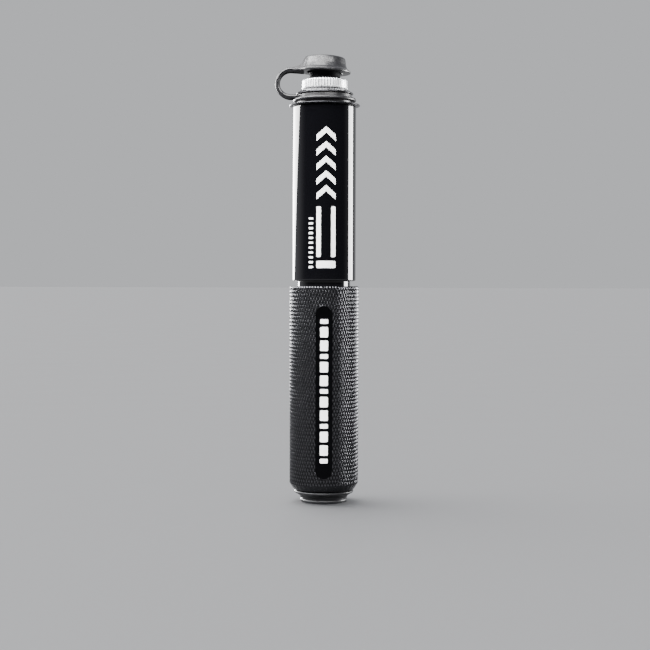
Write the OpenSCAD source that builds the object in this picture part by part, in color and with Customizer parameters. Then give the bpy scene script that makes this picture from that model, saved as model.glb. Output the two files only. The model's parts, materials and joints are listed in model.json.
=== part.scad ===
// Mini hand pump for bicycle tyres, closed, standing on its end plug.
// The axis of the pump is +Z, the table is z = 0, and all sizes are in millimetres.
// The handle slides over the stepped barrel, and its hollow rod stores the short hose.

/* [Handle] */
// Outer diameter of the knurled grip
grip_d = 21.7; // [21.4:0.1:24]
// Length of the grip
grip_len = 63.9; // [63:0.1:68]
// Bore of the grip, which clears the barrel
grip_bore_d = 17; // [16.8:0.1:18]
// Height of the chamfer at the lower edge of the grip
grip_chamfer = 2; // [0.5:0.1:2.2]
// Width of the smooth panel in the knurl
panel_w = 5.9; // [3:0.1:8]
// Length of the smooth panel
panel_len = 53.6; // [20:0.1:56]
// Depth of the smooth panel
panel_depth = 0.3; // [0.1:0.05:0.5]

/* [Barrel] */
// Outer diameter of the lower barrel, inside the handle
barrel_d = 16.4; // [16:0.1:16.6]
// Outer diameter of the upper barrel
sleeve_d = 19.8; // [18:0.1:20.6]
// Length of the upper barrel
sleeve_len = 54.5; // [50:0.1:60]
// Bore that the piston runs in
bore_d = 14; // [13.8:0.1:14.2]
// Gap between the grip and the upper barrel when the pump is closed
closed_gap = 1.6; // [1:0.1:3]

/* [Rod and piston] */
// Outer diameter of the hollow rod
rod_d = 11; // [10.8:0.1:11.2]
// Bore of the rod, where the hose is stored
rod_bore_d = 9.2; // [9:0.1:9.4]
// Height of the piston
piston_h = 6.6; // [6:0.1:7]
// Section diameter of the floating piston ring
piston_ring_t = 1.68; // [1.5:0.02:1.7]

/* [Head] */
// Diameter of the thin flange on top of the barrel
flange_d = 22.3; // [20:0.1:24]
// Thickness of the flange, with the cone below its lip
flange_t = 0.8; // [0.6:0.1:2]
// Thickness of the flange's lip
lip_t = 0.4; // [0.3:0.05:0.5]
// Diameter of the neck that the tether turns on
neck_d = 15.8; // [14:0.1:16.4]
// Height of the neck
neck_h = 3.2; // [3:0.1:4]
// Largest diameter of the cone above the neck
cone_d = 18.3; // [17:0.1:19]
// Height of the cone
cone_h = 1.4; // [1:0.1:2]
// Outer diameter of the fluted outlet collar
collar_d = 14.3; // [13.6:0.1:15]
// Height of the fluted outlet collar
collar_h = 3; // [2.6:0.1:5]
// Minor diameter of the threaded outlet
port_d = 5; // [4:0.1:5.2]
// Outer diameter of the outlet's rim
rim_d = 9.8; // [9:0.1:10]

/* [Dust cap] */
// Diameter of the cap's lower rim
cap_rim_d = 16.4; // [15.6:0.1:17]
// Diameter of the cap's crown
cap_top_d = 12.8; // [12:0.1:13.4]
// Height of the cap
cap_h = 4.95; // [4.85:0.1:6.95]
// Width of the strap
strap_w = 4; // [3:0.1:8]
// Thickness of the strap
strap_t = 1.45; // [1:0.05:1.8]
// How far the strap's loop reaches from the pump's axis
strap_reach = 15.6; // [15.2:0.1:17]

/* [Hose] */
// Outer diameter of the hose
hose_d = 6; // [5.8:0.1:6.2]
// Inner diameter of the hose
hose_bore_d = 3.1; // [3:0.1:3.4]
// Length of the hose between its two fittings
hose_len = 73; // [60:1:76]
// Outer diameter of the hose's fittings
fitting_d = 8.4; // [8:0.1:8.6]
// Minor diameter of the chuck's thread for a narrow tyre valve
valve_d = 5; // [4.8:0.1:5.2]

/* [Fits] */
// Radial clearance of parts that turn or slide on each other
run_fit = 0.05; // [0.03:0.01:0.08]
// Radial gap between parts that are screwed or pressed together
set_gap = 0.02; // [0.01:0.01:0.03]

/* [Hidden] */

$fn = 96;
cut = 1;               // overrun of every cutting solid
face_gap = 0.02;       // gap between flat faces that bear on each other
stop_gap = 0.3;        // gap at the closed stop

// Heights along the pump, from the table up
plug_h = 3.8;
grip_z0 = plug_h + 0.3;
grip_z1 = grip_z0 + grip_len;
anchor_z0 = grip_z0 + 0.6;
anchor_z1 = anchor_z0 + 8.6;
bumper_h = 2.25;
gland_z0 = anchor_z1 + face_gap + bumper_h + stop_gap;
gland_lip_h = 0.6;
barrel_z0 = gland_z0 + gland_lip_h;
sleeve_z0 = grip_z1 + closed_gap;
barrel_z1 = sleeve_z0 + sleeve_len;
head_z0 = barrel_z1 - 4.3;
piston_z1 = head_z0 - 0.8;
piston_z0 = piston_z1 - piston_h;
flange_z1 = barrel_z1 + face_gap + flange_t;
neck_z1 = flange_z1 + neck_h;
cone_z1 = neck_z1 + cone_h;
collar_z0 = cone_z1 + 0.15;
collar_z1 = collar_z0 + collar_h;
spigot_z1 = collar_z1 + 0.05;
nose_z0 = spigot_z1 + 0.05;
nose_z1 = nose_z0 + 0.5;
rim_z1 = nose_z1 + 3.15;
cap_z0 = nose_z1 + 1.8;
cap_z1 = cap_z0 + cap_h;

// Valve chamber inside the head, closed by the valve guide
chamber_d = 6;
chamber_z1 = head_z0 + 7;
insert_z0 = chamber_z1 + 0.9;
insert_d = 7.8;
spigot_d = 10;
seat_h = 1.5;
poppet_z0 = head_z0 + seat_h + run_fit;
poppet_h = 1.6;
poppet_stem_h = 3;
poppet_stem_d = 1.6;

// Gland at the lower end of the barrel
bush_h = 5.4;
wiper_h = 1.4;
circlip_h = 0.5;
gland_bore_d = 12.1;
bush_z0 = gland_z0 + 1.05;
wiper_z0 = bush_z0 + bush_h + run_fit;
circlip_z0 = wiper_z0 + wiper_h + run_fit;
gland_z1 = circlip_z0 + circlip_h + run_fit;

// Hose, standing in the end plug
socket_z0 = 1.8;
spigot_top = plug_h + 5.2;
fitting_z0 = spigot_top + 0.1;
fitting_z1 = fitting_z0 + 5.4;
hose_z0 = fitting_z1 + 0.1;
hose_z1 = hose_z0 + hose_len;
ferrule_h = 6.6;
barb_d = 2.9;
barb_h = 6;
chuck_z0 = hose_z1 + 0.1;
chuck_z1 = chuck_z0 + 14.8;
valve_z0 = chuck_z1 - 8;
seal_h = 1.4;
button_z = chuck_z0 + 3.4;
button_d = 2.4;
button_floor = 1.5;
spring_h = 1.1;

// Strap loop, a half circle beside the head
loop_top = cap_z0 + 1.5;
loop_bottom = flange_z1 + 1.75;
loop_r = (loop_top - loop_bottom) / 2;
loop_z = (loop_top + loop_bottom) / 2;
loop_x = loop_r - strap_reach;
tether_bead_z0 = flange_z1 + 0.9;
tether_bead_z1 = tether_bead_z0 + 1.1;

// A solid turned from its half section
module turned(section) {
    rotate_extrude() polygon(section);
}

// A tube from z0 to z1
module tube(d_out, d_in, z0, z1) {
    difference() {
        translate([0, 0, z0]) cylinder(d = d_out, h = z1 - z0);
        translate([0, 0, z0 - cut]) cylinder(d = d_in, h = z1 - z0 + 2 * cut);
    }
}

// A rod from z0 to z1
module rod(d, z0, z1) {
    translate([0, 0, z0]) cylinder(d = d, h = z1 - z0);
}

// A round sealing ring that fills the radial space between two diameters
module seal_ring(d_out, d_in, z) {
    t = (d_out - d_in) / 2;
    translate([0, 0, z]) rotate_extrude() translate([(d_out + d_in) / 4, 0]) circle(d = t, $fn = 48);
}

// A coil spring: wire of diameter t wound to a mean diameter d
module coil(d, t, h, turns) {
    steps = 12;
    count = turns * steps;
    pitch = (h - t) / count;
    for (i = [0 : count - 1])
        hull() {
            for (k = [i, i + 1])
                rotate([0, 0, k * 360 / steps])
                    translate([d / 2, 0, t / 2 + k * pitch])
                        sphere(d = t, $fn = 8);
        }
}

// Rubber plug that closes the rod and holds the hose; the pump stands on it
module end_plug() {
    base_r = 7.35;
    waist_r = 7.1;
    flange_r = 9.4;
    color([0.07, 0.07, 0.08])
    difference() {
        turned([
            [0, 0], [base_r - 0.15, 0], [base_r, 0.15], [base_r, 0.7], [waist_r, 1.05],
            [base_r, 1.4], [base_r + 0.1, 1.9], [base_r + 0.3, 2.2], [flange_r - 0.1, 3],
            [flange_r, 3.3], [flange_r - 0.1, 3.6], [flange_r - 0.4, plug_h],
            [rod_bore_d / 2 - run_fit, plug_h], [rod_bore_d / 2 - run_fit, spigot_top - 0.4],
            [rod_bore_d / 2 - run_fit - 0.4, spigot_top], [0, spigot_top]
        ]);
        rod(port_d + 2 * set_gap, socket_z0, spigot_top + cut);
    }
}

// Brass fitting that screws into the outlet; stored in the plug's socket
module hose_fitting() {
    color([0.75, 0.62, 0.32])
    difference() {
        union() {
            rod(port_d, socket_z0 + 0.2, fitting_z0 - 1);
            rod(port_d - 0.8, fitting_z0 - 1, fitting_z0);
            rod(fitting_d, fitting_z0, fitting_z1);
            rod(barb_d, fitting_z1, fitting_z1 + barb_h);
        }
        rod(1.8, 0, fitting_z1 + barb_h + cut);
    }
}

// Seal under the shoulder of the fitting
module hose_fitting_oring() {
    color([0.1, 0.1, 0.1])
    seal_ring(port_d, port_d - 0.76, fitting_z0 - 0.5);
}

module ferrule(z0) {
    tube(fitting_d - 0.2, hose_d + 2 * set_gap, z0, z0 + ferrule_h);
}

// Crimped sleeve at the fitting's end of the hose
module hose_ferrule_low() {
    color([0.7, 0.7, 0.72])
    ferrule(hose_z0 + 0.1);
}

// Crimped sleeve at the chuck's end of the hose
module hose_ferrule_high() {
    color([0.7, 0.7, 0.72])
    ferrule(hose_z1 - ferrule_h - 0.1);
}

// Flexible hose, straight inside the rod
module hose_tube() {
    color([0.12, 0.12, 0.13])
    tube(hose_d, hose_bore_d, hose_z0, hose_z1);
}

// Chuck that screws onto the tyre valve, with a side hole for the bleed button
module valve_chuck() {
    color([0.6, 0.6, 0.62])
    difference() {
        union() {
            rod(fitting_d, chuck_z0, chuck_z1);
            rod(barb_d, chuck_z0 - barb_h, chuck_z0);
        }
        rod(1.2, chuck_z0 - barb_h - cut, chuck_z1);
        rod(valve_d, valve_z0, chuck_z1 + cut);
        rod(valve_d + 1, valve_z0 - seal_h, valve_z0);
        translate([button_floor, 0, button_z]) rotate([0, 90, 0]) cylinder(d = button_d, h = fitting_d);
    }
}

// Rubber washer that seals on the tip of the tyre valve
module chuck_seal() {
    color([0.1, 0.1, 0.1])
    tube(valve_d + 1 - 2 * set_gap, 2.4, valve_z0 - seal_h + face_gap, valve_z0 - face_gap);
}

// Button that lets air out of the hose
module bleed_button() {
    x0 = button_floor + spring_h + 0.02;
    x1 = fitting_d / 2 + 0.25;
    color([0.75, 0.75, 0.77])
    translate([x0, 0, button_z]) rotate([0, 90, 0]) cylinder(d = button_d - 2 * run_fit, h = x1 - x0);
}

// Spring that returns the bleed button
module bleed_spring() {
    color([0.8, 0.8, 0.8])
    translate([button_floor, 0, button_z]) rotate([0, 90, 0]) coil(1.7, 0.25, spring_h, 3);
}

// Knurled outer tube of the handle, with a smooth panel sunk into its front
module handle_grip() {
    r = grip_d / 2;
    panel_z = (grip_z0 + grip_z1) / 2 - 0.95;
    panel_run = (panel_len - panel_w) / 2;
    color([0.08, 0.08, 0.09])
    difference() {
        turned([
            [grip_bore_d / 2, anchor_z1 + 0.2], [grip_bore_d / 2, grip_z1], [r - 0.3, grip_z1],
            [r, grip_z1 - 0.3], [r, grip_z0 + grip_chamfer], [r - 0.6 * grip_chamfer, grip_z0],
            [grip_bore_d / 2 - 0.5, grip_z0], [grip_bore_d / 2 - 0.5, anchor_z1 + 0.2]
        ]);
        difference() {
            translate([0, 0, panel_z]) rotate([90, 0, 0]) {
                translate([-panel_w / 2, -panel_run, 0]) cube([panel_w, 2 * panel_run, r + cut]);
                for (s = [-1, 1])
                    translate([0, s * panel_run, 0]) cylinder(d = panel_w, h = r + cut);
            }
            translate([0, 0, grip_z0 - cut]) cylinder(r = r - panel_depth, h = grip_len + 2 * cut);
        }
    }
}

// Threaded ring that fixes the rod in the handle
module rod_anchor() {
    color([0.3, 0.3, 0.32])
    tube(grip_bore_d - 1 - 2 * set_gap, rod_d + 2 * set_gap, anchor_z0, anchor_z1);
}

// Rubber ring that the barrel closes against
module bumper_ring() {
    color([0.1, 0.1, 0.1])
    tube(grip_bore_d - 1, rod_d + 2 * set_gap, anchor_z1 + face_gap, anchor_z1 + face_gap + bumper_h);
}

// Hollow rod that joins the handle to the piston
module piston_rod() {
    color([0.72, 0.72, 0.75])
    tube(rod_d, rod_bore_d, anchor_z0, piston_z0 - face_gap);
}

// Piston, plugged into the top of the rod
module piston() {
    groove_z0 = piston_z0 + 1.9;
    groove_h = 2.6;
    color([0.85, 0.85, 0.82])
    difference() {
        union() {
            rod(bore_d - 2 * run_fit, piston_z0, piston_z1);
            rod(rod_bore_d - 2 * set_gap, piston_z0 - 6.5, piston_z0);
        }
        tube(bore_d + cut, bore_d - 2 * piston_ring_t - 0.3, groove_z0, groove_z0 + groove_h);
    }
}

// Ring that seals on the push stroke and lets air past on the pull stroke
module piston_ring() {
    color([0.1, 0.1, 0.1])
    translate([0, 0, piston_z0 + 1.9 + run_fit + piston_ring_t / 2])
        rotate_extrude()
            translate([bore_d / 2 - run_fit - piston_ring_t / 2, 0])
                circle(d = piston_ring_t, $fn = 48);
}

// Plain bearing between the rod and the gland
module rod_bush() {
    color([0.85, 0.82, 0.7])
    tube(gland_bore_d - 2 * run_fit, rod_d + 2 * run_fit, bush_z0, bush_z0 + bush_h);
}

// Nut that closes the lower end of the barrel
module gland_nut() {
    r_in = rod_d / 2 + 0.15;
    color([0.3, 0.3, 0.32])
    turned([
        [r_in, gland_z0], [barrel_d / 2 - 0.1, gland_z0], [barrel_d / 2 - 0.1, barrel_z0 - face_gap],
        [bore_d / 2 - set_gap, barrel_z0 - face_gap], [bore_d / 2 - set_gap, gland_z1],
        [gland_bore_d / 2, gland_z1], [gland_bore_d / 2, bush_z0 - run_fit], [r_in, bush_z0 - run_fit]
    ]);
}

// Rubber wiper above the bush
module rod_wiper() {
    color([0.1, 0.1, 0.1])
    tube(gland_bore_d - 2 * set_gap, rod_d + 2 * run_fit, wiper_z0, wiper_z0 + wiper_h);
}

// Spring clip that keeps the bush and the wiper in the gland
module gland_circlip() {
    color([0.6, 0.6, 0.62])
    difference() {
        tube(gland_bore_d - 2 * set_gap, rod_d + 0.3, circlip_z0, circlip_z0 + circlip_h);
        translate([0, -0.8, circlip_z0 - cut]) cube([gland_bore_d, 1.6, circlip_h + 2 * cut]);
    }
}

// Stepped barrel: thin inside the handle, thicker above it
module barrel() {
    edge = 0.5;
    color([0.05, 0.05, 0.06])
    turned([
        [bore_d / 2, barrel_z0], [barrel_d / 2, barrel_z0], [barrel_d / 2, sleeve_z0],
        [sleeve_d / 2 - edge, sleeve_z0], [sleeve_d / 2, sleeve_z0 + edge],
        [sleeve_d / 2, barrel_z1], [bore_d / 2, barrel_z1]
    ]);
}

// Head screwed into the barrel: flange, neck for the tether, cone and spigot for the collar
module pump_head() {
    groove_z = head_z0 + 2.1;
    color([0.06, 0.06, 0.07])
    difference() {
        union() {
            rod(bore_d - 2 * set_gap, head_z0, barrel_z1 + face_gap);
            translate([0, 0, barrel_z1 + face_gap])
                cylinder(d1 = sleeve_d, d2 = flange_d, h = flange_t - lip_t);
            rod(flange_d, flange_z1 - lip_t, flange_z1);
            rod(neck_d, flange_z1, neck_z1);
            translate([0, 0, neck_z1]) cylinder(d1 = cone_d, d2 = collar_d - 0.2, h = cone_h);
            rod(spigot_d, cone_z1, spigot_z1);
        }
        tube(bore_d + cut, bore_d - 2.4, groove_z - 0.7, groove_z + 0.7);
        rod(chamber_d, head_z0 - cut, insert_z0 + cut);
        rod(insert_d + 2 * set_gap, insert_z0, spigot_z1 + cut);
    }
}

// Seal between the head and the barrel
module head_oring() {
    color([0.1, 0.1, 0.1])
    seal_ring(bore_d - 2 * set_gap, bore_d - 2.36, head_z0 + 2.1);
}

// Seat of the outlet's one-way valve
module valve_seat() {
    color([0.75, 0.62, 0.32])
    tube(chamber_d - 2 * set_gap, 2, head_z0, head_z0 + seat_h);
}

// Poppet of the one-way valve
module valve_poppet() {
    color([0.85, 0.85, 0.82])
    union() {
        rod(4.6, poppet_z0, poppet_z0 + poppet_h);
        rod(poppet_stem_d, poppet_z0 + poppet_h, poppet_z0 + poppet_h + poppet_stem_h - 1);
    }
}

// Spring that closes the one-way valve
module valve_spring() {
    z0 = poppet_z0 + poppet_h + 0.02;
    color([0.8, 0.8, 0.8])
    translate([0, 0, z0]) coil(3.2, 0.4, chamber_z1 - z0 - 0.02, 4);
}

// Pressed disc that carries the spring of the one-way valve
module valve_guide() {
    color([0.75, 0.62, 0.32])
    tube(chamber_d - 2 * set_gap, 2.4, chamber_z1, insert_z0);
}

// Threaded outlet that the hose screws into, with the shoulder that keeps the collar on
module outlet_port() {
    color([0.06, 0.06, 0.07])
    difference() {
        union() {
            rod(insert_d, insert_z0 + face_gap, nose_z0);
            rod(rim_d + 1.2, nose_z0, nose_z1);
            rod(rim_d, nose_z1, rim_z1);
        }
        rod(port_d, insert_z0 - cut, rim_z1 + cut);
    }
}

// Bright fluted collar that turns on the head's spigot
module outlet_collar() {
    edge = 0.25;
    r = collar_d / 2;
    r_in = spigot_d / 2 + run_fit;
    color([0.85, 0.85, 0.87])
    turned([
        [r_in, collar_z0], [r - edge, collar_z0], [r, collar_z0 + edge],
        [r, collar_z1 - edge], [r - edge, collar_z1], [r_in, collar_z1]
    ]);
}

// Rubber ring of the tether: a hub round the neck and a bead
module tether_ring() {
    color([0.09, 0.09, 0.1])
    union() {
        tube(neck_d + 1.2, neck_d + 2 * run_fit, flange_z1 + run_fit, neck_z1 - run_fit);
        tube(sleeve_d, neck_d + 2 * run_fit, tether_bead_z0, tether_bead_z1);
    }
}

// Rubber strap that loops from the tether ring to the cap
module tether_strap() {
    leg = strap_reach - loop_r;
    color([0.09, 0.09, 0.1])
    difference() {
        translate([0, strap_w / 2, 0]) rotate([90, 0, 0]) linear_extrude(strap_w)
            union() {
                difference() {
                    translate([loop_x, loop_z]) circle(r = loop_r);
                    translate([loop_x, loop_z]) circle(r = loop_r - strap_t);
                    translate([loop_x, loop_z - 2 * loop_r]) square(4 * loop_r);
                }
                translate([loop_x, loop_bottom]) square([leg / 2, strap_t]);
            }
        rod(neck_d + 1.2 + 2 * face_gap, flange_z1, neck_z1 + cut);
        rod(sleeve_d + 2 * face_gap, flange_z1, tether_bead_z1 + face_gap);
    }
}

// Rubber cap over the outlet, with the tab that carries the strap
module dust_cap() {
    r_rim = cap_rim_d / 2;
    r_top = cap_top_d / 2;
    recess_d = rim_d + 1.2;
    color([0.09, 0.09, 0.1])
    difference() {
        union() {
            turned([
                [0, cap_z0], [r_rim - 0.2, cap_z0], [r_rim, cap_z0 + 0.2], [r_rim, cap_z0 + 0.7],
                [r_top + 0.75, cap_z0 + 1.6], [r_top + 0.2, cap_z0 + 3.2], [r_top, cap_z1 - 0.9],
                [r_top - 0.25, cap_z1 - 0.35], [r_top - 0.9, cap_z1 - 0.05], [r_top - 2, cap_z1],
                [0, cap_z1]
            ]);
            translate([loop_x + 0.1, -strap_w / 2, loop_top - strap_t])
                cube([-loop_x - r_top + 1, strap_w, strap_t]);
        }
        rod(recess_d, cap_z0 - cut, cap_z0 + 4);
    }
}

end_plug();
hose_fitting();
hose_fitting_oring();
hose_ferrule_low();
hose_tube();
hose_ferrule_high();
valve_chuck();
chuck_seal();
bleed_button();
bleed_spring();
handle_grip();
rod_anchor();
bumper_ring();
piston_rod();
piston();
piston_ring();
rod_bush();
gland_nut();
rod_wiper();
gland_circlip();
barrel();
pump_head();
head_oring();
valve_seat();
valve_poppet();
valve_spring();
valve_guide();
outlet_port();
outlet_collar();
tether_ring();
tether_strap();
dust_cap();
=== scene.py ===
"""Looks of the mini pump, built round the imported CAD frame."""
import json
import math

import bmesh
import bpy
from mathutils import Matrix, Vector


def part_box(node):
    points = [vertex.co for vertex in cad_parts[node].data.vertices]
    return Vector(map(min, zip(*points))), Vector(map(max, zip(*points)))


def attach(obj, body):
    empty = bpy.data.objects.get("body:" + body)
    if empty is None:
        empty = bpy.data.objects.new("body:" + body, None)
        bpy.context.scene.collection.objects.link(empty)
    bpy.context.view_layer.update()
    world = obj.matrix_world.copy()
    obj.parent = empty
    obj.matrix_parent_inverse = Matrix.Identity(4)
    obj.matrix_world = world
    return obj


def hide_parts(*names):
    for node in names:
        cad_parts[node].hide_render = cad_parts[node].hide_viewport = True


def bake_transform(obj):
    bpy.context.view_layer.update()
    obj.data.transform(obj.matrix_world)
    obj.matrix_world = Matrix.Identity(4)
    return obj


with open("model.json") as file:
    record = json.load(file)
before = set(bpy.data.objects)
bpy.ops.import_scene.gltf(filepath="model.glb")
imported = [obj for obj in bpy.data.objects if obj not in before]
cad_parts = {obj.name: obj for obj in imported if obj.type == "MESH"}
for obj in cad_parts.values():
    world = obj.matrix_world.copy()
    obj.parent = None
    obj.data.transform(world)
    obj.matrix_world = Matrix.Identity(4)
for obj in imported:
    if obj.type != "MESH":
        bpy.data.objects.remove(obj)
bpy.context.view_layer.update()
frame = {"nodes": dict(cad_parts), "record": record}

MM = 0.001


# ---------------------------------------------------------------- sizes, in millimetres

def span(node):
    """Outer radius, lowest height and highest height of a turned CAD node."""
    low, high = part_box(node)
    return (high.y - low.y) / 2 / MM, low.z / MM, high.z / MM


grip_r, grip_z0, grip_z1 = span("handle_grip")
barrel_r, barrel_z0, barrel_z1 = span("barrel")
plug_z1 = span("end_plug")[2]
flange_r, head_z0, _ = span("pump_head")
collar_r, collar_z0, collar_z1 = span("outlet_collar")
port_r, port_z0, port_z1 = span("outlet_port")
ring_r, ring_z0, ring_z1 = span("tether_ring")
cap_r, cap_z0, cap_z1 = span("dust_cap")
rod_r, rod_z0, rod_z1 = span("piston_rod")
nut_r, nut_z0, nut_z1 = span("gland_nut")
hose_r, hose_z0, hose_z1 = span("hose_tube")
chuck_r, _, chuck_z1 = span("valve_chuck")
fitting_r, fitting_thread_z0, fitting_barb_z1 = span("hose_fitting")
strap_low, strap_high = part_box("tether_strap")
strap_w = (strap_high.y - strap_low.y) / MM
strap_reach = -strap_low.x / MM
strap_z0, strap_z1 = strap_low.z / MM, strap_high.z / MM

GRIP_BORE_R = 8.5
PANEL_W, PANEL_LEN, PANEL_DEPTH, PANEL_DROP = 5.9, 53.6, 0.3, 0.95
LOWER_BARREL_R = nut_r + 0.1
BARREL_BORE_R = 7.0
CLEARANCE = 0.02
STEP_Z = grip_z1 + 1.6
FLANGE_T, LIP_T, NECK_H, CONE_H = 0.8, 0.4, 3.2, 1.4
flange_z1 = barrel_z1 + CLEARANCE + FLANGE_T
neck_z1 = flange_z1 + NECK_H
NECK_R, CONE_R, SPIGOT_R = 7.9, 9.15, 5.0
HEAD_BORE_R, PORT_SEAT_R = 3.0, 3.92
HEAD_FOOT_R = BARREL_BORE_R - CLEARANCE


# ---------------------------------------------------------------- mesh tools

def add_piece(name, bm, smooth_angle=35):
    """Makes an object from a bmesh drawn in millimetres."""
    bmesh.ops.remove_doubles(bm, verts=bm.verts, dist=1e-5)
    bmesh.ops.recalc_face_normals(bm, faces=bm.faces)
    bmesh.ops.scale(bm, vec=(MM, MM, MM), verts=bm.verts)
    mesh = bpy.data.meshes.new(name)
    bm.to_mesh(mesh)
    bm.free()
    shade(mesh, smooth_angle)
    piece = bpy.data.objects.new(name, mesh)
    bpy.context.scene.collection.objects.link(piece)
    return piece


def shade(mesh, smooth_angle):
    """Smooth shading, with sharp edges over the given angle in degrees."""
    mesh.polygons.foreach_set("use_smooth", [True] * len(mesh.polygons))
    mesh.set_sharp_from_angle(angle=math.radians(smooth_angle))


def rounded(corners, steps=5):
    """Outline of (radius, height) points from corners of (radius, height, fillet radius)."""
    points = []
    for i, (r, z, fillet) in enumerate(corners):
        here = Vector((r, z))
        if fillet == 0:
            points.append(here)
            continue
        a = (Vector(corners[i - 1][:2]) - here).normalized()
        b = (Vector(corners[(i + 1) % len(corners)][:2]) - here).normalized()
        half = a.angle(b) / 2
        centre = here + (a + b).normalized() * (fillet / math.sin(half))
        start = here + a * (fillet / math.tan(half)) - centre
        end = here + b * (fillet / math.tan(half)) - centre
        for k in range(steps + 1):
            t = k / steps
            points.append(centre + (start * (1 - t) + end * t).normalized() * fillet)
    return [(p.x, p.y) for p in points]


def lathe(name, outline, segments, shape=None):
    """Turns a closed outline about Z. shape(point) may move each point afterwards."""
    bm = bmesh.new()
    rings = []
    for r, z in outline:
        if r < 1e-4:
            rings.append([bm.verts.new((0, 0, z))] * segments)
            continue
        ring = []
        for k in range(segments):
            angle = 2 * math.pi * k / segments
            point = Vector((r * math.cos(angle), r * math.sin(angle), z))
            ring.append(bm.verts.new(shape(point) if shape else point))
        rings.append(ring)
    for a, b in zip(rings, rings[1:] + rings[:1]):
        for k in range(segments):
            n = (k + 1) % segments
            corners = list(dict.fromkeys((a[k], a[n], b[n], b[k])))
            if len(corners) > 2:
                bm.faces.new(corners)
    return add_piece(name, bm)


def sleeve(name, outer, inner, heights, segments, smooth_angle=35):
    """Tube whose outer and inner radii are functions of angle and height."""
    bm = bmesh.new()

    def wall(radius):
        rows = []
        for z in heights:
            row = []
            for k in range(segments):
                angle = 2 * math.pi * k / segments
                r = radius(angle, z)
                row.append(bm.verts.new((r * math.cos(angle), r * math.sin(angle), z)))
            rows.append(row)
        return rows

    def skin(a, b):
        for k in range(segments):
            n = (k + 1) % segments
            bm.faces.new((a[k], a[n], b[n], b[k]))

    out, inn = wall(outer), wall(inner)
    for rows in (out, inn):
        for a, b in zip(rows, rows[1:]):
            skin(a, b)
    skin(out[0], inn[0])
    skin(out[-1], inn[-1])
    return add_piece(name, bm, smooth_angle)


def frange(start, stop, count):
    """count + 1 even steps from start to stop."""
    return [start + (stop - start) * k / count for k in range(count + 1)]


WRAP_STRIP = 0.4


def wrapped(name, outlines, r0, r1):
    """Flat shapes of (across, height) points, wrapped round the pump's front from r0 to r1."""
    bm = bmesh.new()
    for outline in outlines:
        bm.faces.new([bm.verts.new((x, 0, z)) for x, z in outline])
    bmesh.ops.triangulate(bm, faces=bm.faces)
    xs = [v.co.x for v in bm.verts]
    cut = math.ceil(min(xs) / WRAP_STRIP) * WRAP_STRIP
    while cut < max(xs):
        geometry = bm.verts[:] + bm.edges[:] + bm.faces[:]
        bmesh.ops.bisect_plane(bm, geom=geometry, dist=1e-6, plane_co=(cut, 0, 0), plane_no=(1, 0, 0))
        cut += WRAP_STRIP
    lifted = bmesh.ops.extrude_face_region(bm, geom=bm.faces[:])["geom"]
    for v in lifted:
        if isinstance(v, bmesh.types.BMVert):
            v.co.y = 1
    for v in bm.verts:
        r = r0 + (r1 - r0) * v.co.y
        angle = v.co.x / r1 - math.pi / 2
        v.co = Vector((r * math.cos(angle), r * math.sin(angle), v.co.z))
    return add_piece(name, bm, smooth_angle=40)


def combine(piece, tool, operation):
    """Applies a boolean with another object, which is then removed."""
    change = piece.modifiers.new("combine", "BOOLEAN")
    change.operation = operation
    change.object = tool
    change.solver = "EXACT"
    evaluated = piece.evaluated_get(bpy.context.evaluated_depsgraph_get())
    mesh = bpy.data.meshes.new_from_object(evaluated)
    piece.modifiers.clear()
    piece.data = mesh
    bpy.data.objects.remove(tool)


def loft(bm, rows):
    """Joins rings of vertices into a tube with closed ends."""
    for a, b in zip(rows, rows[1:]):
        for k in range(len(a)):
            n = (k + 1) % len(a)
            bm.faces.new((a[k], a[n], b[n], b[k]))
    bm.faces.new(rows[0])
    bm.faces.new(rows[-1])


def ease(t):
    """Smooth step from 0 to 1."""
    t = min(max(t, 0), 1)
    return t * t * (3 - 2 * t)


# ---------------------------------------------------------------- materials

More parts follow.
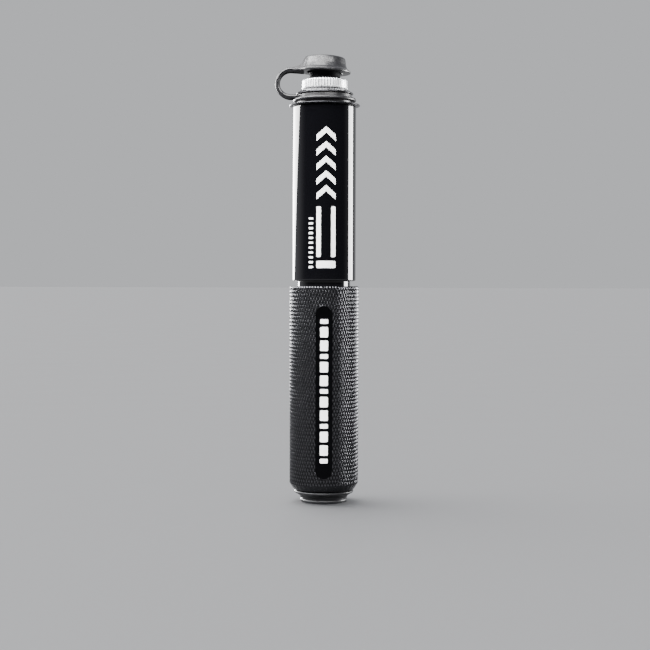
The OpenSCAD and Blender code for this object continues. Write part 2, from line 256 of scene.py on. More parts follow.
class Shader:
    """A Principled material with short helpers for procedural detail."""

    def __init__(self, name, colour, roughness, metallic=0.0, **extra):
        self.material = bpy.data.materials.new(name)
        self.material.use_nodes = True
        self.tree = self.material.node_tree
        self.bsdf = self.tree.nodes["Principled BSDF"]
        self.colour = colour
        self.set("Base Color", (*colour, 1))
        self.set("Roughness", roughness)
        self.set("Metallic", metallic)
        for socket, value in extra.items():
            self.set(socket.replace("_", " "), value)
        self.height = None

    def set(self, socket, value):
        self.bsdf.inputs[socket].default_value = value

    def node(self, kind, **inputs):
        node = self.tree.nodes.new(kind)
        for socket, value in inputs.items():
            node.inputs[socket.replace("_", " ")].default_value = value
        return node

    def link(self, source, target):
        self.tree.links.new(source, target)

    def place(self, scale=(1, 1, 1)):
        """Object coordinates in millimetres, stretched by scale."""
        coordinates = self.node("ShaderNodeTexCoord")
        mapping = self.node("ShaderNodeMapping", Scale=tuple(s / MM for s in scale))
        self.link(coordinates.outputs["Object"], mapping.inputs["Vector"])
        return mapping.outputs["Vector"]

    def noise(self, scale, detail=3.0, stretch=(1, 1, 1), rough=0.55):
        """Noise with about scale grains a millimetre."""
        texture = self.node("ShaderNodeTexNoise", Scale=scale, Detail=detail, Roughness=rough)
        self.link(self.place(stretch), texture.inputs["Vector"])
        return texture.outputs["Fac"]

    def radius(self):
        """Distance from the pump's axis in millimetres."""
        length = self.tree.nodes.new("ShaderNodeVectorMath")
        length.operation = "LENGTH"
        self.link(self.place((1, 1, 0)), length.inputs[0])
        return length.outputs["Value"]

    def remap(self, source, low, high, start=0.3, end=0.7):
        node = self.node("ShaderNodeMapRange")
        node.inputs["From Min"].default_value = start
        node.inputs["From Max"].default_value = end
        node.inputs["To Min"].default_value = low
        node.inputs["To Max"].default_value = high
        self.link(source, node.inputs["Value"])
        return node.outputs["Result"]

    def vary_roughness(self, source, low, high):
        self.link(self.remap(source, low, high), self.bsdf.inputs["Roughness"])
        return self

    def vary_colour(self, source, other, start=0.35, end=0.65):
        """Mixes the base colour towards another one."""
        mix = self.tree.nodes.new("ShaderNodeMix")
        mix.data_type = "RGBA"
        mix.inputs[6].default_value = (*self.colour, 1)
        mix.inputs[7].default_value = (*other, 1)
        self.link(self.remap(source, 0, 1, start, end), mix.inputs[0])
        self.link(mix.outputs[2], self.bsdf.inputs["Base Color"])
        return self

    def bump(self, source, depth_mm, strength=1.0):
        """Adds a relief; several are chained."""
        node = self.node("ShaderNodeBump", Strength=strength, Distance=depth_mm * MM)
        self.link(source, node.inputs["Height"])
        if self.height is not None:
            self.link(self.height, node.inputs["Normal"])
        self.height = node.outputs["Normal"]
        self.link(self.height, self.bsdf.inputs["Normal"])
        return self


def gloss_black():
    s = Shader("gloss_black", (0.0015, 0.0015, 0.002), 0.04)
    s.vary_roughness(s.noise(0.25, 4), 0.03, 0.055)
    return s.bump(s.noise(0.8, 2), 0.001, 0.1).material


def knurled_black():
    """Anodised metal, a little brighter where hands wear the tips of the knurl."""
    s = Shader("knurled_black", (0.006, 0.006, 0.007), 0.20, metallic=0.95)
    s.vary_roughness(s.noise(0.5, 4), 0.17, 0.24)
    return s.vary_colour(s.radius(), (0.095, 0.095, 0.102), grip_r - 0.22, grip_r).material


def satin_black():
    s = Shader("satin_black", (0.032, 0.032, 0.035), 0.25, metallic=0.95)
    s.vary_roughness(s.noise(1.0, 4, (1, 1, 9)), 0.20, 0.32)
    return s.bump(s.noise(2.5, 2, (0.4, 0.4, 12)), 0.003, 0.3).material


def port_painted_shade():
    """Dull black of the outlet under the cap, darker and less reflective than the head's satin black:
    painted shade of the cap.
    """
    s = Shader("port_painted_shade", (0.005, 0.005, 0.006), 0.65, Specular_IOR_Level=0.05)
    s.vary_roughness(s.noise(1.0, 4, (1, 1, 9)), 0.60, 0.72)
    return s.bump(s.noise(2.5, 2, (0.4, 0.4, 12)), 0.003, 0.3).material


def bright_collar():
    s = Shader("bright_collar", (0.92, 0.93, 0.94), 0.34, metallic=0.8)
    s.vary_roughness(s.noise(2.0, 3, (1, 1, 0.3)), 0.28, 0.40)
    # Painted shade: the grooves between the teeth darken to dark grey towards their floors.
    return s.vary_colour(s.radius(), (0.12, 0.12, 0.13), collar_r - 0.04, collar_r - 0.26).material


def rubber(name, colour, roughness, grain):
    s = Shader(name, colour, roughness, Specular_IOR_Level=0.45, Sheen_Weight=0.01, Sheen_Roughness=0.5)
    s.vary_roughness(s.noise(1.6, 3), roughness - 0.06, roughness + 0.08)
    s.vary_colour(s.noise(0.5, 4), tuple(c * 1.5 for c in colour))
    return s.bump(s.noise(9.0, 3), grain, 0.35).material


def white_ink():
    s = Shader("white_ink", (0.92, 0.92, 0.91), 0.40)
    s.vary_roughness(s.noise(5.0, 3), 0.34, 0.48)
    return s.vary_colour(s.noise(2.2, 4), (0.84, 0.84, 0.83), 0.45, 0.75).material


def drawn_metal(name, colour, roughness):
    """Metal with fine turning marks round the axis."""
    s = Shader(name, colour, roughness, metallic=1.0)
    s.vary_roughness(s.noise(1.0, 3, (0.3, 0.3, 14)), roughness - 0.06, roughness + 0.08)
    return s.bump(s.noise(1.5, 2, (0.2, 0.2, 16)), 0.003, 0.3).material


def nylon():
    s = Shader("nylon", (0.62, 0.61, 0.56), 0.45, Subsurface_Weight=0.1, Subsurface_Scale=0.001)
    s.vary_roughness(s.noise(1.5, 3), 0.38, 0.52)
    return s.bump(s.noise(6.0, 2), 0.004, 0.3).material


def hose_rubber():
    s = Shader("hose_rubber", (0.030, 0.030, 0.033), 0.45)
    s.vary_roughness(s.noise(2.0, 3, (1, 1, 0.2)), 0.38, 0.52)
    return s.bump(s.noise(4.0, 2, (2, 2, 0.15)), 0.01, 0.4).material


MATERIALS = {
    "knurled_black": knurled_black(),
    "gloss_black": gloss_black(),
    "satin_black": satin_black(),
    "bright_collar": bright_collar(),
    "cap_rubber": rubber("cap_rubber", (0.005, 0.005, 0.006), 0.33, 0.004),
    "plug_rubber": rubber("plug_rubber", (0.006, 0.006, 0.007), 0.38, 0.005),
    "seal_rubber": rubber("seal_rubber", (0.012, 0.012, 0.012), 0.35, 0.003),
    "hose_rubber": hose_rubber(),
    "rod_metal": drawn_metal("rod_metal", (0.72, 0.73, 0.75), 0.16),
    "fitting_metal": drawn_metal("fitting_metal", (0.66, 0.67, 0.69), 0.24),
    "steel": drawn_metal("steel", (0.52, 0.52, 0.54), 0.28),
    "brass": drawn_metal("brass", (0.70, 0.52, 0.22), 0.24),
    "nylon": nylon(),
}


def dress(piece, slot):
    """Gives a piece the material of a record slot."""
    piece.data.materials.clear()
    piece.data.materials.append(MATERIALS[slot])


def fit(piece, body, slot, *nodes):
    """Sets a new piece on its body in place of the CAD nodes."""
    dress(piece, slot)
    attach(piece, body)
    if nodes:
        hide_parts(*nodes)
    return piece


for part in frame["record"]["subparts"]:
    dress(frame["nodes"][part["node"]], part["material_slot"])


# ---------------------------------------------------------------- handle

KNURL_STARTS = 72
KNURL_PITCH = 2.3
KNURL_DEPTH = 0.22
KNURL_FLAT = 0.24
CHAMFER_H = 2.0
CHAMFER_NORMALS = (-0.98, -0.35)


def knurled_core():
    """Closed cylinder covered in truncated diamonds, a little longer than the grip."""
    bm = bmesh.new()
    valleys = {}
    base = grip_z0 - KNURL_PITCH

    def at(i, j, r):
        angle = math.pi * i / KNURL_STARTS
        return Vector((r * math.cos(angle), r * math.sin(angle), base + j * KNURL_PITCH / 2))

    def valley(i, j):
        key = (i % (2 * KNURL_STARTS), j)
        if key not in valleys:
            valleys[key] = bm.verts.new(at(i, j, grip_r - KNURL_DEPTH))
        return valleys[key]

    rows = math.ceil((grip_z1 - grip_z0) / (KNURL_PITCH / 2)) + 4
    for j in range(1, rows):
        for i in range((j + 1) % 2, 2 * KNURL_STARTS, 2):
            around = ((i + 1, j), (i, j + 1), (i - 1, j), (i, j - 1))
            low = [valley(*corner) for corner in around]
            top = [
                bm.verts.new(at(i + (a - i) * KNURL_FLAT, j + (b - j) * KNURL_FLAT, grip_r))
                for a, b in around
            ]
            bm.faces.new(top)
            for k in range(4):
                n = (k + 1) % 4
                bm.faces.new((low[k], low[n], top[n], top[k]))
    middle = (grip_z0 + grip_z1) / 2
    ends = [bm.verts.new((0, 0, base)), bm.verts.new((0, 0, base + rows * KNURL_PITCH / 2))]
    for edge in [e for e in bm.edges if e.is_boundary]:
        a, b = edge.verts
        bm.faces.new((a, b, ends[0] if a.co.z < middle else ends[1]))
    return add_piece("handle_grip_knurl", bm, smooth_angle=60)


def stadium(width, length, z, steps=16):
    """Upright slot outline of (across, height) points."""
    r, run = width / 2, (length - width) / 2
    points = []
    for side, start in ((1, 0), (-1, math.pi)):
        for k in range(steps + 1):
            angle = start + math.pi * k / steps
            points.append((r * math.cos(angle), z + side * run + r * math.sin(angle)))
    return points


panel_z = (grip_z0 + grip_z1) / 2 - PANEL_DROP
grip = knurled_core()
envelope = lathe("envelope", rounded([
    (GRIP_BORE_R, grip_z0, 0), (grip_r - 1.2, grip_z0, 0.2), (grip_r + 0.02, grip_z0 + CHAMFER_H, 0),
    (grip_r + 0.02, grip_z1 - 0.3, 0), (grip_r - 0.3, grip_z1, 0), (GRIP_BORE_R, grip_z1, 0.2),
]), segments=180)
combine(grip, envelope, "INTERSECT")
pocket = wrapped("pocket", [stadium(PANEL_W, PANEL_LEN, panel_z)], grip_r - PANEL_DEPTH, grip_r + 1)
combine(grip, pocket, "DIFFERENCE")
shade(grip.data, 60)
fit(grip, "handle", "knurled_black", "handle_grip")


def smooth_chamfer(mesh):
    """Gives the turned chamfer under the knurl the plain satin finish."""
    mesh.materials.append(MATERIALS["satin_black"])
    flat_end, steep_side = CHAMFER_NORMALS
    for face in mesh.polygons:
        is_low = face.center.z < (grip_z0 + CHAMFER_H + 0.1) * MM
        face.material_index = 1 if is_low and flat_end < face.normal.z < steep_side else 0


smooth_chamfer(grip.data)


# ---------------------------------------------------------------- barrel and head

# Points with no fillet beside a rounded corner keep the shading of the long walls level.
barrel = lathe("barrel_tube", rounded([
    (BARREL_BORE_R, barrel_z0, 0.2), (LOWER_BARREL_R, barrel_z0, 0.2), (LOWER_BARREL_R, barrel_z0 + 0.5, 0),
    (LOWER_BARREL_R, STEP_Z - 0.4, 0), (LOWER_BARREL_R, STEP_Z, 0.15), (barrel_r, STEP_Z, 0.4),
    (barrel_r, STEP_Z + 0.6, 0), (barrel_r, barrel_z1 - 0.3, 0), (barrel_r, barrel_z1, 0.1),
    (BARREL_BORE_R, barrel_z1, 0.1),
]), segments=256)
fit(barrel, "barrel", "gloss_black", "barrel")

head = lathe("pump_head_body", rounded([
    (HEAD_BORE_R, head_z0, 0), (HEAD_FOOT_R, head_z0, 0.2),
    (HEAD_FOOT_R, barrel_z1 + CLEARANCE, 0), (barrel_r - 0.1, barrel_z1 + CLEARANCE, 0),
    (flange_r - 0.1, flange_z1 - LIP_T, 0.1), (flange_r, flange_z1 - LIP_T * 0.5, 0.12),
    (flange_r - 0.15, flange_z1, 0.1), (NECK_R, flange_z1, 0.15), (NECK_R, neck_z1, 0.1),
    (CONE_R, neck_z1, 0.2), (CONE_R - 0.25, neck_z1 + 0.45, 0.2), (collar_r + 0.1, neck_z1 + CONE_H, 0.15),
    (SPIGOT_R, neck_z1 + CONE_H, 0.05), (SPIGOT_R, collar_z1 + 0.05, 0.1),
    (PORT_SEAT_R, collar_z1 + 0.05, 0), (PORT_SEAT_R, port_z0 - CLEARANCE, 0),
    (HEAD_BORE_R, port_z0 - CLEARANCE, 0),
]), segments=192)
fit(head, "barrel", "satin_black", "pump_head")

FLUTES = 48
FLUTE_DEPTH = 0.26
FLUTE_SHARE = 0.42


def fluted(angle, z):
    """Radius of the collar: narrow grooves between rounded teeth, chamfered at each end."""
    from_end = min(z - collar_z0, collar_z1 - z)
    chamfer = max(0, 0.3 - from_end) * 0.8
    phase = (angle * FLUTES / (2 * math.pi)) % 1
    across = min(phase, 1 - phase) / (FLUTE_SHARE / 2)
    groove = FLUTE_DEPTH * (1 - ease(across)) if across < 1 else 0
    return min(collar_r - chamfer, collar_r - groove)


collar_rows = [collar_z0 + h for h in (0, 0.1, 0.2, 0.3, 0.5)]
collar_rows += [collar_z1 - h for h in (0.5, 0.3, 0.2, 0.1, 0)]
collar = sleeve("outlet_collar_fluted", fluted, lambda angle, z: SPIGOT_R + 0.05,
                collar_rows, FLUTES * 14, smooth_angle=40)
fit(collar, "outlet_collar", "bright_collar", "outlet_collar")

THREAD_PITCH = 1.0
RIM_R = 4.9
PORT_BORE_R = 2.5


def thread(angle, z, radius, depth):
    """Radius of a threaded wall. Its groove runs out by depth, or in where depth is negative."""
    turn = (z / THREAD_PITCH - angle / (2 * math.pi)) % 1
    return radius + depth * (1 - abs(2 * turn - 1))


def port_outside(angle, z):
    if z < collar_z1 + 0.095:
        return 3.9
    if z < collar_z1 + 0.595:
        return port_r - max(0, z - collar_z1 - 0.45)
    return RIM_R - max(0, 0.25 - (port_z1 - z))


def port_inside(angle, z):
    mouth = max(0, 0.45 - (port_z1 - z))
    return thread(angle, z, PORT_BORE_R, 0.42) + mouth * 0.9


port_rows = frange(port_z0, port_z1, 90)
port_rows += [collar_z1 + h for h in (0.094, 0.101, 0.45, 0.594, 0.601)] + [port_z1 - 0.25]
port = sleeve("outlet_port_threaded", port_outside, port_inside, sorted(port_rows), 120)
fit(port, "barrel", "satin_black", "outlet_port")
# The outlet takes a darker, nearly unreflective copy of the satin black as painted shade under the cap.
port.data.materials[0] = port_painted_shade()


# ---------------------------------------------------------------- rubber: plug, tether, cap

PLUG_FLANGE_Z = 3.8
PLUG_SPIGOT_R = 4.55
PLUG_HOLE_R, PLUG_FLOOR_Z = 2.52, 1.8
plug = lathe("end_plug_ribbed", rounded([
    (0, 0, 0), (7.35, 0, 0.22), (7.45, 0.9, 0.35), (6.95, 1.15, 0.12), (7.45, 1.4, 0.3),
    (7.6, 2.0, 0.4), (9.3, 3.0, 0.25), (9.4, 3.5, 0.2), (8.9, PLUG_FLANGE_Z, 0.15),
    (PLUG_SPIGOT_R, PLUG_FLANGE_Z, 0.15), (PLUG_SPIGOT_R, plug_z1, 0.4),
    (PLUG_HOLE_R, plug_z1, 0.1), (PLUG_HOLE_R, PLUG_FLOOR_Z, 0), (0, PLUG_FLOOR_Z, 0),
]), segments=192)
fit(plug, "plug_and_hose", "plug_rubber", "end_plug")


def strap_side(point, half_width):
    """How much a point belongs to the strap's side, from 0 to 1, at -X."""
    if point.x > 0:
        return 0
    return ease(1.6 - abs(point.y) / half_width)


RING_BORE_R, RING_WALL_R = NECK_R + 0.05, 8.5
bead_z0 = flange_z1 + 0.9
bead_z1 = bead_z0 + 1.1
ring = lathe("tether_ring_band", rounded([
    (RING_BORE_R, ring_z0, 0.1), (RING_WALL_R, ring_z0, 0.15), (RING_WALL_R, bead_z0, 0.1),
    (ring_r, bead_z0, 0.5), (ring_r, bead_z1, 0.5),
    (RING_WALL_R, bead_z1, 0.1), (RING_WALL_R, ring_z1, 0.15), (RING_BORE_R, ring_z1, 0.1),
]), segments=192)
fit(ring, "tether", "cap_rubber", "tether_ring")

CAP_CROWN_R = 6.4
CAP_WAIST_R, CAP_SKIRT_R = 6.7, 7.1
CAP_RECESS_R, CAP_RECESS_H = 5.5, 4.0
CAP_PULL, CAP_PULL_FADE = 3.4, 0.9
CAP_TILT = math.radians(2.8)
tab_top = strap_z1 - (strap_reach - (strap_z1 - strap_z0) / 2) * math.sin(CAP_TILT)


def cap_root(point):
    """Draws the cap's side out into the strap in a hollow curve."""
    radius = math.hypot(point.x, point.y)
    if radius < CAP_RECESS_R + 0.5 or point.z < tab_top - 1.4:
        return point
    rise = max(point.z - tab_top, 0)
    pull = strap_side(point, strap_w / 2) * CAP_PULL * math.exp(-rise / CAP_PULL_FADE)
    return Vector((point.x - pull, point.y, point.z))


cap_outline = rounded([
    (0, cap_z1, 0), (CAP_CROWN_R - 0.1, cap_z1 - 0.15, 0.8),
    (CAP_WAIST_R, cap_z1 - 2.4, 2.0), (CAP_SKIRT_R, cap_z0 + 1.35, 0.6),
    (cap_r, cap_z0 + 0.6, 0.22), (cap_r, cap_z0, 0.2), (CAP_RECESS_R, cap_z0, 0.15),
    (CAP_RECESS_R, cap_z0 + CAP_RECESS_H, 0.4), (0, cap_z0 + CAP_RECESS_H, 0),
], steps=7)
cap = lathe("dust_cap_moulding", cap_outline, segments=256, shape=cap_root)
cap_centre = Matrix.Translation((0, 0, (cap_z0 + 2) * MM))
cap.data.transform(cap_centre @ Matrix.Rotation(CAP_TILT, 4, "Y") @ cap_centre.inverted())
fit(cap, "dust_cap", "cap_rubber", "dust_cap")

STRAP_T = 1.45
STRAP_FOOT_R, STRAP_CAP_R = 8.55, 6.6
STRAP_STEPS = 40
CORNER_STEPS = 4


def strap_band():
    """Band swept round the half circle from the tether ring to the cap."""
    loop_r = (strap_z1 - strap_z0) / 2
    centre = Vector((loop_r - strap_reach, (strap_z0 + strap_z1) / 2))
    middle_r = loop_r - STRAP_T / 2
    path = [(Vector((-STRAP_FOOT_R, centre.y - middle_r)), Vector((0, 1)))]
    for k in range(STRAP_STEPS + 1):
        angle = -math.pi / 2 - math.pi * k / STRAP_STEPS
        out = Vector((math.cos(angle), math.sin(angle)))
        path.append((centre + out * middle_r, -out))
    path.append((Vector((-STRAP_CAP_R, centre.y + middle_r - 0.25)), Vector((0, -1))))
    bm = bmesh.new()
    rows = []
    for index, (point, inward) in enumerate(path):
        t = index / (len(path) - 1)
        ends = ease(abs(t - 0.5) * 4 - 1)
        half_w, half_t = strap_w / 2 + 0.3 * ends, STRAP_T / 2
        corner = half_t * 0.85
        row = []
        for side_y, side_t in ((1, 1), (-1, 1), (-1, -1), (1, -1)):
            for step in range(CORNER_STEPS + 1):
                turn = math.pi / 2 * step / CORNER_STEPS
                # Known fault: this runs the corners backwards, so the outline crosses itself.
                if side_y * side_t > 0:
                    turn = math.pi / 2 - turn
                y = side_y * (half_w - corner + corner * math.cos(turn))
                n = side_t * (half_t - corner + corner * math.sin(turn))
                at = point - inward * n
                row.append(bm.verts.new((at.x, y, at.y)))
        rows.append(row)
    loft(bm, rows)
    return add_piece("tether_strap_band", bm, smooth_angle=60)


strap = strap_band()
dress(strap, "cap_rubber")
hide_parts("tether_strap")
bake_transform(strap)


# ---------------------------------------------------------------- rod, gland and hose

rod = lathe("piston_rod_tube", rounded([
    (4.6, rod_z0, 0.15), (rod_r, rod_z0, 0.3), (rod_r, rod_z1, 0.3), (4.6, rod_z1, 0.15),
]), segments=144)
fit(rod, "handle", "rod_metal", "piston_rod")

LIP_H = 0.6
NOTCH_DEPTH = 0.45
GLAND_BORE_R, GLAND_SEAT_R, GLAND_BORE_H = 5.65, 6.05, 1.0


def gland_outside(angle, z):
    """Lip with spanner notches under a plain body that screws into the barrel."""
    if z > nut_z0 + LIP_H - 0.01:
        return BARREL_BORE_R - CLEARANCE
    notch = NOTCH_DEPTH if (angle * 8 / math.pi) % 2 < 0.5 else 0
    return nut_r - notch - max(0, 0.15 - (z - nut_z0))


def gland_inside(angle, z):
    """Bore with a chamfered mouth, wider above."""
    if z < nut_z0 + GLAND_BORE_H:
        return GLAND_BORE_R + max(0, 0.3 - (z - nut_z0))
    return GLAND_SEAT_R


gland_rows = [nut_z0 + h for h in (0, 0.15, 0.3, 0.585, 0.595, 0.995, 1.005)] + [nut_z1]
gland = sleeve("gland_nut_notched", gland_outside, gland_inside, gland_rows, 160)
fit(gland, "barrel", "satin_black", "gland_nut")

BRAID_STRANDS = 12


def braid(angle, z):
    """Skin of the hose: crossing strands under a rubber cover."""
    lean = 2.4 * z
    weave = math.sin(BRAID_STRANDS * angle + lean) * math.sin(BRAID_STRANDS * angle - lean)
    return hose_r - 0.05 + 0.05 * weave


hose = sleeve("hose_braided", braid, lambda angle, z: 1.55, frange(hose_z0, hose_z1, 300), 96, 180)
fit(hose, "plug_and_hose", "hose_rubber", "hose_tube")


def crimped(name, node):
    """Metal sleeve pressed on the hose in three rings."""
    r, z0, z1 = span(node)
    corners = [(hose_r + 0.02, z0, 0), (r, z0, 0.3)]
    for k in range(3):
        z = z0 + 1.55 + 1.45 * k
        corners += [(r, z, 0.1), (r - 0.32, z + 0.2, 0.1), (r - 0.32, z + 0.65, 0.1), (r, z + 0.85, 0.1)]
    corners += [(r, z1, 0.3), (hose_r + 0.02, z1, 0)]
    fit(lathe(name, rounded(corners), segments=96), "plug_and_hose", "fitting_metal", node)


crimped("hose_crimp_low", "hose_ferrule_low")
crimped("hose_crimp_high", "hose_ferrule_high")

fitting_z0, fitting_z1 = plug_z1 + 0.1, plug_z1 + 5.5
GRIP_FLUTES = 24


def barbed(z, foot):
    """Saw-toothed tail that holds the hose."""
    return 1.45 - 0.22 * (((z - foot) / 1.5) % 1)


def fitting_outside(angle, z):
    if z < fitting_z0 - 1:
        return thread(angle, z, 2.49, -0.35)
    if z < fitting_z0:
        return 2.1
    if z <= fitting_z1:
        edge = max(0, 0.3 - min(z - fitting_z0, fitting_z1 - z))
        return fitting_r - edge - 0.16 * (0.5 + 0.5 * math.cos(GRIP_FLUTES * angle))
    return barbed(z, fitting_z1)


fitting_rows = frange(fitting_thread_z0, fitting_z0 - 1.01, 50) + [fitting_z0 - 0.99, fitting_z0 - 0.01]
fitting_rows += [fitting_z0 + h for h in (0, 0.3)] + [fitting_z1 - h for h in (0.3, 0)]
fitting_rows += frange(fitting_z1 + 0.01, fitting_barb_z1, 40)
fitting = sleeve("hose_fitting_threaded", fitting_outside, lambda angle, z: 0.9, fitting_rows, 96)
fit(fitting, "plug_and_hose", "brass", "hose_fitting")


band_z0, band_z1 = chuck_z1 - 9.0, chuck_z1 - 1.5


def chuck_band(angle, z):
    """Diamond knurl round the upper part of the chuck."""
    edge = max(0, 0.25 - min(z - band_z0, band_z1 - z))
    a = abs((angle * 20 / math.pi + z / 0.9) % 2 - 1)
    b = abs((angle * 20 / math.pi - z / 0.9) % 2 - 1)
    return chuck_r + 0.24 * min(a, b) - edge


band = sleeve("chuck_knurl_band", chuck_band, lambda angle, z: chuck_r - 0.1,
              frange(band_z0, band_z1, 50), 240)
fit(band, "plug_and_hose", "fitting_metal")
tyre_thread = sleeve("chuck_thread", lambda angle, z: 2.52, lambda angle, z: thread(angle, z, 2.2, 0.3),
                     frange(chuck_z1 - 7.9, chuck_z1 - 0.15, 80), 72)
fit(tyre_thread, "plug_and_hose", "fitting_metal")

button_low, button_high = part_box("bleed_button")
button_r = (button_high.y - button_low.y) / 2 / MM
button_run = (button_high.x - button_low.x) / MM
button = lathe("bleed_button_dished", rounded([
    (0, 0, 0), (button_r, 0, 0.1), (button_r, button_run, 0.2), (button_r * 0.6, button_run, 0.15),
    (0, button_run - 0.15, 0),
]), segments=64)
button_mid = (button_low + button_high) / 2
button.data.transform(
    Matrix.Translation((button_low.x, button_mid.y, button_mid.z)) @ Matrix.Rotation(math.pi / 2, 4, "Y")
)
fit(button, "bleed_button", "fitting_metal", "bleed_button")


# ---------------------------------------------------------------- springs of the valve and the bleed button

TURN_STEPS = 28
WIRE_SIDES = 10


def coil_spring(name, mean_r, wire_r, height, turns):
    """Round wire wound round Z, with half a flat turn at each end, from z = 0 to the height."""
    bm = bmesh.new()
    rows = []
    for k in range(turns * TURN_STEPS + 1):
        t = k / (turns * TURN_STEPS)
        angle = 2 * math.pi * turns * t
        climb = ease((t * turns - 0.5) / (turns - 1))
        lift = wire_r + (height - 2 * wire_r) * climb
        middle = Vector((mean_r * math.cos(angle), mean_r * math.sin(angle), lift))
        out = Vector((math.cos(angle), math.sin(angle), 0))
        row = []
        for step in range(WIRE_SIDES):
            turn = 2 * math.pi * step / WIRE_SIDES
            rise = Vector((0, 0, wire_r * math.sin(turn)))
            row.append(bm.verts.new(middle + out * wire_r * math.cos(turn) + rise))
        rows.append(row)
    loft(bm, rows)
    spring = add_piece(name, bm, smooth_angle=80)
    dress(spring, "steel")
    return spring


poppet_low, poppet_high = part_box("valve_spring")
poppet_mid = (poppet_low + poppet_high) / 2
poppet_coil = coil_spring("valve_spring_coil", 1.6, 0.19, (poppet_high.z - poppet_low.z) / MM, 4)
poppet_coil.data.transform(Matrix.Translation((poppet_mid.x, poppet_mid.y, poppet_low.z)))
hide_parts("valve_spring")
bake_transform(poppet_coil)

bleed_low, bleed_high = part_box("bleed_spring")
bleed_mid = (bleed_low + bleed_high) / 2
bleed_coil = coil_spring("bleed_spring_coil", 0.85, 0.115, (bleed_high.x - bleed_low.x) / MM, 3)
bleed_coil.data.transform(
    Matrix.Translation((bleed_low.x, bleed_mid.y, bleed_mid.z)) @ Matrix.Rotation(math.pi / 2, 4, "Y")
)
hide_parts("bleed_spring")
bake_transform(bleed_coil)


# ---------------------------------------------------------------- printed marks

INK_LIFT, INK_ROOT = 0.025, 0.02


def bar(x0, x1, z0, z1, corner=0.35, steps=4):
    """Rectangle with round corners."""
    points = []
    for cx, cz, start in ((x1, z1, 0), (x0, z1, 1), (x0, z0, 2), (x1, z0, 3)):
        px = cx - corner if cx == x1 else cx + corner
        pz = cz - corner if cz == z1 else cz + corner
        for k in range(steps + 1):
            angle = math.pi / 2 * (start + k / steps)
            points.append((px + corner * math.cos(angle), pz + corner * math.sin(angle)))
    return points


def chevron(x0, x1, z, height, thick):
    """Arrow head that points up."""
    mid = (x0 + x1) / 2
    return [(x0, z), (mid, z + height), (x1, z), (x1, z - thick), (mid, z + height - thick), (x0, z - thick)]


def barrel_marks():
    """Column of chevrons over two upright bars and a low one, beside a column of small ticks."""
    x0, x1 = -2.5, 3.5
    marks = [chevron(x0, x1, z, 2.6, 1.9) for z in frange(STEP_Z + 27, STEP_Z + 45, 4)]
    marks.append(bar(x0, x1, STEP_Z + 4, STEP_Z + 6.2))
    marks.append(bar(x0, x0 + 1.4, STEP_Z + 7.4, STEP_Z + 23))
    marks.append(bar(x1 - 1.4, x1, STEP_Z + 7.4, STEP_Z + 23))
    marks += [bar(-5.0, -3.6, z, z + 0.6, 0.15) for z in frange(STEP_Z + 4, STEP_Z + 19, 10)]
    return marks


def panel_marks():
    """Column of bars of two heights down the smooth panel."""
    z0, z1, width = grip_z0 + 9.1, grip_z0 + 54.1, 2.45
    marks = []
    z, index = z0, 0
    while z < z1 - 1:
        height = 3.2 if index % 3 else 1.4
        marks.append(bar(-width / 2, width / 2, z, min(z + height, z1), 0.3))
        z += height + 1.0
        index += 1
    return marks


def print_marks(name, outlines, radius, body, slot, ink):
    """Wraps flat marks round the pump at a radius, in the given ink."""
    marks = fit(wrapped(name, outlines, radius - INK_ROOT, radius + INK_LIFT), body, slot)
    marks.data.materials[0] = ink


ink = white_ink()
print_marks("barrel_marks", barrel_marks(), barrel_r, "barrel", "gloss_black", ink)
print_marks("panel_marks", panel_marks(), grip_r - PANEL_DEPTH, "handle", "knurled_black", ink)


# ---------------------------------------------------------------- stage, light and camera

def floor():
    bm = bmesh.new()
    bmesh.ops.create_grid(bm, x_segments=1, y_segments=1, size=200)
    mesh = bpy.data.meshes.new("floor")
    bm.to_mesh(mesh)
    bm.free()
    plane = bpy.data.objects.new("floor", mesh)
    bpy.context.scene.collection.objects.link(plane)
    s = Shader("pale_floor", (0.62, 0.62, 0.63), 0.55)
    s.vary_roughness(s.noise(0.02, 3), 0.5, 0.6)
    plane.data.materials.append(s.material)
    return plane


def all_but(piece):
    """Group that keeps the softboxes' light off one object, so that their edges don't show on it."""
    group = bpy.data.collections.new("softbox_light")
    group.objects.link(piece)
    group.collection_objects[0].light_linking.link_state = "EXCLUDE"
    return group


def softbox(name, azimuth, distance, height, width, tall, glow, lit, lean=0.0, aim_z=None):
    """Area light of even glow. Azimuth 0 is the camera's side, 90 is +X; lean turns it in its plane."""
    light = bpy.data.lights.new(name, "AREA")
    light.shape = "RECTANGLE"
    light.size, light.size_y = width, tall
    light.energy = glow * math.pi * width * tall
    lamp = bpy.data.objects.new(name, light)
    angle = math.radians(azimuth)
    lamp.location = (distance * math.sin(angle), -distance * math.cos(angle), height)
    aim = Vector((0, 0, height if aim_z is None else aim_z)) - lamp.location
    turn = Matrix.Rotation(math.radians(lean), 4, "Z")
    lamp.rotation_euler = (aim.to_track_quat("-Z", "Y").to_matrix().to_4x4() @ turn).to_euler()
    lamp.light_linking.receiver_collection = lit
    bpy.context.scene.collection.objects.link(lamp)


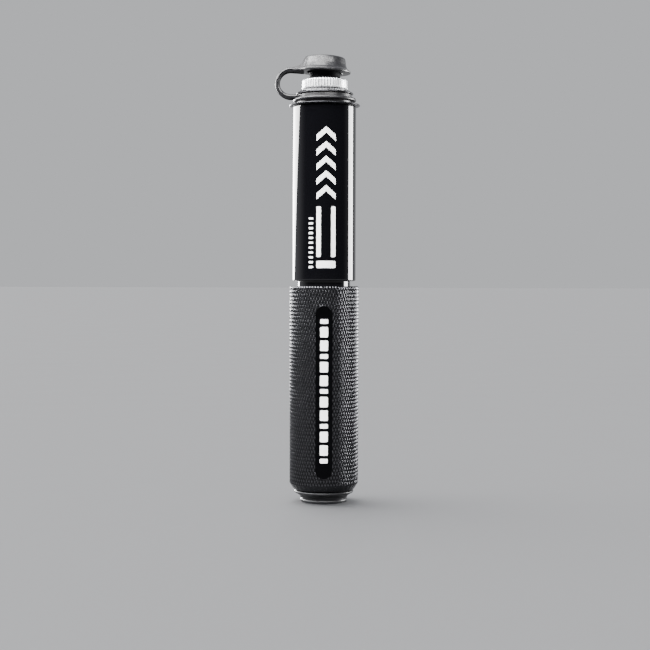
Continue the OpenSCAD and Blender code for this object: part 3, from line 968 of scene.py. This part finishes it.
def sky():
    """Pale world behind and above the pump, dim towards the camera so that gloss stays black."""
    world = bpy.data.worlds.new("studio")
    bpy.context.scene.world = world
    world.use_nodes = True
    nodes, links = world.node_tree.nodes, world.node_tree.links
    direction = nodes.new("ShaderNodeTexCoord").outputs["Generated"]
    parts = nodes.new("ShaderNodeSeparateXYZ")
    links.new(direction, parts.inputs[0])
    fades = []
    for axis, start, end in (("Y", -0.35, 0.35), ("Z", 0.2, 0.75)):
        fade = nodes.new("ShaderNodeMapRange")
        fade.interpolation_type = "SMOOTHSTEP"
        fade.inputs["From Min"].default_value = start
        fade.inputs["From Max"].default_value = end
        links.new(parts.outputs[axis], fade.inputs["Value"])
        fades.append(fade.outputs["Result"])
    brighter = nodes.new("ShaderNodeMath")
    brighter.operation = "MAXIMUM"
    links.new(fades[0], brighter.inputs[0])
    links.new(fades[1], brighter.inputs[1])
    mix = nodes.new("ShaderNodeMix")
    mix.data_type = "RGBA"
    mix.inputs[6].default_value = (0.05, 0.05, 0.055, 1)
    mix.inputs[7].default_value = (0.60, 0.61, 0.63, 1)
    links.new(brighter.outputs[0], mix.inputs[0])
    links.new(mix.outputs[2], nodes["Background"].inputs["Color"])
    nodes["Background"].inputs["Strength"].default_value = 0.90


def studio(lit):
    sky()
    softbox("left_wall", -135, 0.80, 0.22, 1.20, 0.22, 32, lit, lean=15.6)
    softbox("right_strip", 112, 0.60, 0.115, 0.28, 0.21, 40, lit)
    softbox("left_high", -80, 0.80, 0.60, 1.00, 0.20, 44, lit, aim_z=0.13)
    softbox("key", -18, 0.80, 0.62, 1.40, 0.16, 38, lit, aim_z=0.13)
    softbox("right_front", 34, 0.80, 0.52, 0.40, 0.12, 40, lit, aim_z=0.13)
    softbox("top_front", -32, 0.42, 0.78, 0.70, 0.44, 22, lit, aim_z=0.13)
    softbox("top", -130, 0.30, 0.90, 0.80, 0.80, 2, lit, aim_z=0.10)
    sun = bpy.data.objects.new("even", bpy.data.lights.new("even", "SUN"))
    sun.data.energy = 1.65
    sun.data.angle = math.radians(60)
    sun.rotation_euler = (math.radians(-20), math.radians(-25), 0)
    bpy.context.scene.collection.objects.link(sun)


def camera():
    lens_mm, distance, height = 77.5, 0.442, 0.0677
    pitch, roll = math.radians(-1.55), math.radians(0.15)
    data = bpy.data.cameras.new("camera")
    data.lens = lens_mm
    data.sensor_width = 36
    data.clip_start = 0.01
    eye = bpy.data.objects.new("camera", data)
    eye.matrix_world = (
        Matrix.Translation((0.00027, -distance, height))
        @ Matrix.Rotation(math.pi / 2 + pitch, 4, "X")
        @ Matrix.Rotation(roll, 4, "Z")
    )
    bpy.context.scene.collection.objects.link(eye)
    bpy.context.scene.camera = eye


studio(all_but(floor()))
camera()
